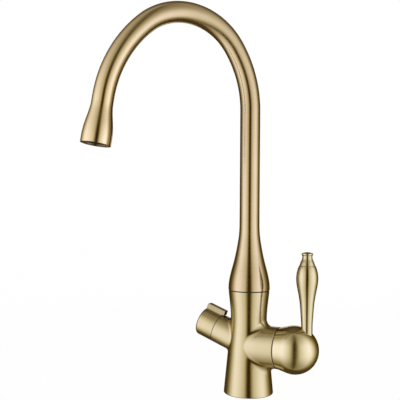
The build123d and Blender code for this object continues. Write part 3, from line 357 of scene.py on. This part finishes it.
def line_noise(tree, place, run, density):
    """Noise drawn out into lines that lie across the direction in which run counts."""
    split = tree.add("ShaderNodeSeparateXYZ", {0: tree.scaled(place, ROUND_CHANGES)})
    sideways = tree.math("ADD", split.outputs[1], split.outputs[2])
    inputs = {0: split.outputs[0], 1: sideways, 2: tree.math("MULTIPLY", run, density)}
    line_place = tree.add("ShaderNodeCombineXYZ", inputs).outputs[0]
    return tree.noise(line_place, 1.0, detail=1.5, rough=0.6)


def along_surface(tree, axis):
    """An axis laid flat on the surface: the way in which the brushed gloss spreads."""
    world_axis = tree.add(
        "ShaderNodeVectorTransform",
        {0: axis},
        vector_type="VECTOR",
        convert_from="OBJECT",
        convert_to="WORLD",
    ).outputs[0]
    normal = tree.add("ShaderNodeNewGeometry").outputs["Normal"]
    outward = tree.scaled(normal, tree.dot(normal, world_axis))
    return tree.vector("NORMALIZE", tree.vector("SUBTRACT", world_axis, outward))


def brushed(tree, place, run, axis, colour, roughness, marks, painted_shade=None):
    """Satin metal whose lines cross its axis, along which run counts. Marks is their strength."""
    lines = tree.math(
        "MULTIPLY_ADD",
        line_noise(tree, place, run, BROAD_LINES),
        BROAD_WEIGHT,
        tree.math("MULTIPLY", line_noise(tree, place, run, FINE_LINES), FINE_WEIGHT),
    )
    line_shade = LINE_SHADE * marks
    shade = tree.math("MULTIPLY_ADD", lines, line_shade, 1.0 - line_shade / 2)
    cloud = tree.noise(place, CLOUD_CHANGES, detail=4.0, rough=0.55)
    cloud_shade = tree.spread(cloud, CLOUD_LOW, CLOUD_HIGH, CLOUD_DARK, CLOUD_LIGHT)
    shade = tree.math("MULTIPLY", shade, cloud_shade)
    # A cleft's painted shade darkens the colour there.
    if painted_shade is not None:
        shade = tree.math("MULTIPLY", shade, painted_shade(tree, place))
    smoothest = roughness - LINE_SMOOTHER * marks
    roughest = roughness + LINE_ROUGHER * marks
    smudge = tree.noise(place, SMUDGE_CHANGES, detail=3.0, rough=0.6)
    rough = tree.math(
        "ADD",
        tree.spread(lines, NOISE_LOW, NOISE_HIGH, smoothest, roughest),
        tree.spread(smudge, NOISE_LOW, NOISE_HIGH, -SMUDGE_SMOOTHER, SMUDGE_ROUGHER),
    )
    relief = {"Strength": LINE_BUMP * marks, "Distance": LINE_DEPTH, "Height": lines}
    metal = {
        "Base Color": tree.scaled(colour, shade),
        "Metallic": 1.0,
        "Roughness": rough,
        "Normal": tree.add("ShaderNodeBump", relief).outputs[0],
        "Specular Tint": GLANCING_TINT,
        "Anisotropic": GLOSS_SPREAD,
        "Tangent": along_surface(tree, axis),
    }
    tree.surface(tree.add("ShaderNodeBsdfPrincipled", metal))


def turned_gold(name, origin, axis, colour, roughness, marks, painted_shade=None):
    """Satin metal turned on an axis: its lines run round, and its gloss spreads along it."""
    material, tree = new_material(name)
    place = tree.vector("SUBTRACT", tree.object_place(), origin)
    brushed(tree, place, tree.dot(place, axis), axis, colour, roughness, marks, painted_shade)
    return material


def swan_neck_gold(name, roughness, marks):
    """Brushed lines that run round the spout all along its arch."""
    material, tree = new_material(name)
    place = tree.object_place()
    height = tree.add("ShaderNodeSeparateXYZ", {0: place}).outputs["Z"]
    back = tree.math("SUBTRACT", ARCH_RADIUS, tree.dot(place, SPOUT_FORWARD))
    above = tree.math("SUBTRACT", height, ARCH_HEIGHT)
    angle = tree.math("ARCTAN2", tree.math("MAXIMUM", above, 0.0), back)
    straight = tree.math("MULTIPLY", tree.math("MINIMUM", above, 0.0), tree.math("SIGN", back))
    run = tree.math("MULTIPLY_ADD", angle, ARCH_RADIUS, straight)
    forward = tree.scaled(SPOUT_FORWARD, tree.math("SINE", angle))
    upward = tree.add("ShaderNodeCombineXYZ", {"Z": tree.math("COSINE", angle)}).outputs[0]
    axis = tree.vector("ADD", forward, upward)
    # The colour along the arch carries painted shade on the crown and painted light towards the
    # nozzle.
    tone_and_painted_light = tree.ramp(tree.math("DIVIDE", angle, math.pi), NECK_TONES_AND_PAINTED_LIGHT)
    brushed(tree, place, run, axis, tone_and_painted_light, roughness, marks)
    return material


def arm_end_painted_shade(tree, place):
    """Painted shade: the bevel on the mixer arm's end lies deep in the hub's seam, and its colour
    is darkened there.
    """
    out = tree.dot(place, ARM_DIRECTION)
    return tree.spread(out, ARM_BEVEL_START, ARM_BEVEL_START + PAINTED_SHADE_EDGE, 1.0, ARM_CLEFT_PAINTED_SHADE)


def fin_end_painted_shade(tree, place):
    """Painted shade: the fin's inner end faces the body closely, and its colour is darkened there.
    """
    out = tree.dot(place, FILTER_ARM_DIRECTION)
    return tree.spread(out, FIN_START, FIN_START + PAINTED_SHADE_EDGE, FIN_CLEFT_PAINTED_SHADE, 1.0)


# --- Other matter -------------------------------------------------------------------------------

GRAIN_DEPTH = 0.00005
GRAIN_SMOOTHER = 0.05
GRAIN_ROUGHER = 0.07
CLOUDS_TO_GRAINS = 0.08
METAL = 1.0
NO_METAL = 0.0


def plain(name, colour, metallic, roughness, grains, variation=0.12, bump=0.15):
    """Moulded, sintered or machined matter, mottled by so many grains per metre."""
    material, tree = new_material(name)
    place = tree.object_place()
    grain = tree.noise(place, grains, detail=5.0, rough=0.6)
    cloud = tree.noise(place, grains * CLOUDS_TO_GRAINS, detail=3.0, rough=0.5)
    mottle = tree.math("MULTIPLY_ADD", grain, 0.5, tree.math("MULTIPLY", cloud, 0.5))
    shade = tree.spread(mottle, NOISE_LOW, NOISE_HIGH, 1.0 - variation, 1.0 + variation / 2)
    smoothest = roughness - GRAIN_SMOOTHER
    roughest = roughness + GRAIN_ROUGHER
    relief = {"Strength": bump, "Distance": GRAIN_DEPTH, "Height": grain}
    matter = {
        "Base Color": tree.scaled(colour, shade),
        "Metallic": metallic,
        "Roughness": tree.spread(grain, NOISE_LOW, NOISE_HIGH, smoothest, roughest),
        "Normal": tree.add("ShaderNodeBump", relief).outputs[0],
    }
    tree.surface(tree.add("ShaderNodeBsdfPrincipled", matter))
    return material


# --- Finish of each piece -----------------------------------------------------------------------

ON_AXIS = (0.0, 0.0, 0.0)
ON_ARM = (0.0, 0.0, ARM_HEIGHT)
ON_FILTER_ARM = (0.0, 0.0, FILTER_ARM_HEIGHT)
UNDER_LEVER = (LEVER_OUT, 0.0, 0.0)

# The body's colour holds painted shade where the mixer arm's end meets the hub.
body_gold_painted_shade = turned_gold(
    "gold_body_painted_shade", ON_AXIS, UPRIGHT, GOLD, roughness=0.205, marks=0.6, painted_shade=arm_end_painted_shade
)
collar_gold = turned_gold(
    "gold_collar", ON_AXIS, UPRIGHT, PINKER_GOLD, roughness=0.20, marks=0.5
)
hub_gold = turned_gold(
    "gold_hub", ON_ARM, ARM_DIRECTION, HUB_GOLD, roughness=0.145, marks=0.7
)
lever_gold = turned_gold(
    "gold_lever", UNDER_LEVER, UPRIGHT, LEVER_GOLD, roughness=0.15, marks=1.0
)
knob_gold = turned_gold(
    "gold_knob", ON_FILTER_ARM, FILTER_ARM_DIRECTION, KNOB_GOLD, roughness=0.22, marks=0.7
)
# The fin's colour holds painted shade at its inner end by the body.
fin_gold_painted_shade = turned_gold(
    "gold_fin_painted_shade",
    ON_FILTER_ARM,
    FILTER_ARM_DIRECTION,
    FIN_GOLD,
    roughness=0.34,
    marks=1.0,
    painted_shade=fin_end_painted_shade,
)
# The nozzle's lighter gold is painted light.
nozzle_gold_painted_light = turned_gold(
    "gold_nozzle_painted_light", ON_AXIS, NOZZLE_DIRECTION, NOZZLE_GOLD_PAINTED_LIGHT, roughness=0.16, marks=1.0
)
# The tube's colour carries painted shade on the crown and painted light towards the nozzle.
tube_gold_and_painted_light = swan_neck_gold("gold_tube_and_painted_light", roughness=0.20, marks=0.5)

BRASS = (0.62, 0.42, 0.16)
STEEL = (0.52, 0.52, 0.53)
RUBBER = (0.018, 0.018, 0.019)
CERAMIC = (0.80, 0.78, 0.74)
PALE_PLASTIC = (0.62, 0.62, 0.60)
DARK_PLASTIC = (0.020, 0.018, 0.016)
BROWN_PLASTIC = (0.030, 0.022, 0.012)
BLUISH_PLASTIC = (0.72, 0.75, 0.78)

raw_brass = plain("raw_brass", BRASS, METAL, roughness=0.32, grains=900.0)
steel = plain("stainless_steel", STEEL, METAL, roughness=0.28, grains=1200.0)
rubber = plain(
    "black_rubber", RUBBER, NO_METAL, roughness=0.62, grains=1500.0, variation=0.3
)
ceramic = plain(
    "white_ceramic", CERAMIC, NO_METAL, roughness=0.18, grains=700.0, variation=0.05, bump=0.05
)
cartridge_plastic = plain(
    "cartridge_plastic", PALE_PLASTIC, NO_METAL, roughness=0.45, grains=1100.0, variation=0.08
)
dark_plastic = plain(
    "dark_plastic", DARK_PLASTIC, NO_METAL, roughness=0.42, grains=1300.0, variation=0.25
)
glide_plastic = plain(
    "glide_plastic", BROWN_PLASTIC, NO_METAL, roughness=0.55, grains=1300.0, variation=0.25
)
filter_tube_plastic = plain(
    "filter_tube_plastic", BLUISH_PLASTIC, NO_METAL, roughness=0.35, grains=900.0, variation=0.06
)

FINISH_OF_PIECE = {
    "body_casting": body_gold_painted_shade,
    "spout_collar": collar_gold,
    "spout_tube": tube_gold_and_painted_light,
    "spout_nozzle": nozzle_gold_painted_light,
    "handle_hub": hub_gold,
    "hub_screw_plug": hub_gold,
    "filter_knob": knob_gold,
    "filter_knob_fin": fin_gold_painted_shade,
    "lever_grip": lever_gold,
    "lever_finial": lever_gold,
}
FINISH_OF_SLOT = {
    "brushed_gold": body_gold_painted_shade,
    "raw_brass": raw_brass,
    "stainless_steel": steel,
    "black_rubber": rubber,
    "white_ceramic": ceramic,
    "cartridge_plastic": cartridge_plastic,
    "dark_plastic": dark_plastic,
    "glide_plastic": glide_plastic,
    "filter_tube_plastic": filter_tube_plastic,
}


def finish_pieces():
    """Each piece takes its own finish, or else the one of its material slot."""
    slot_of = {entry["node"]: entry["material_slot"] for entry in frame["record"]["subparts"]}
    for name, node in nodes.items():
        finish = FINISH_OF_PIECE.get(name, FINISH_OF_SLOT[slot_of[name]])
        for slot in node.material_slots:
            slot.material = finish


finish_pieces()

# --- View transform -----------------------------------------------------------------------------

scene.view_settings.view_transform = "Standard"
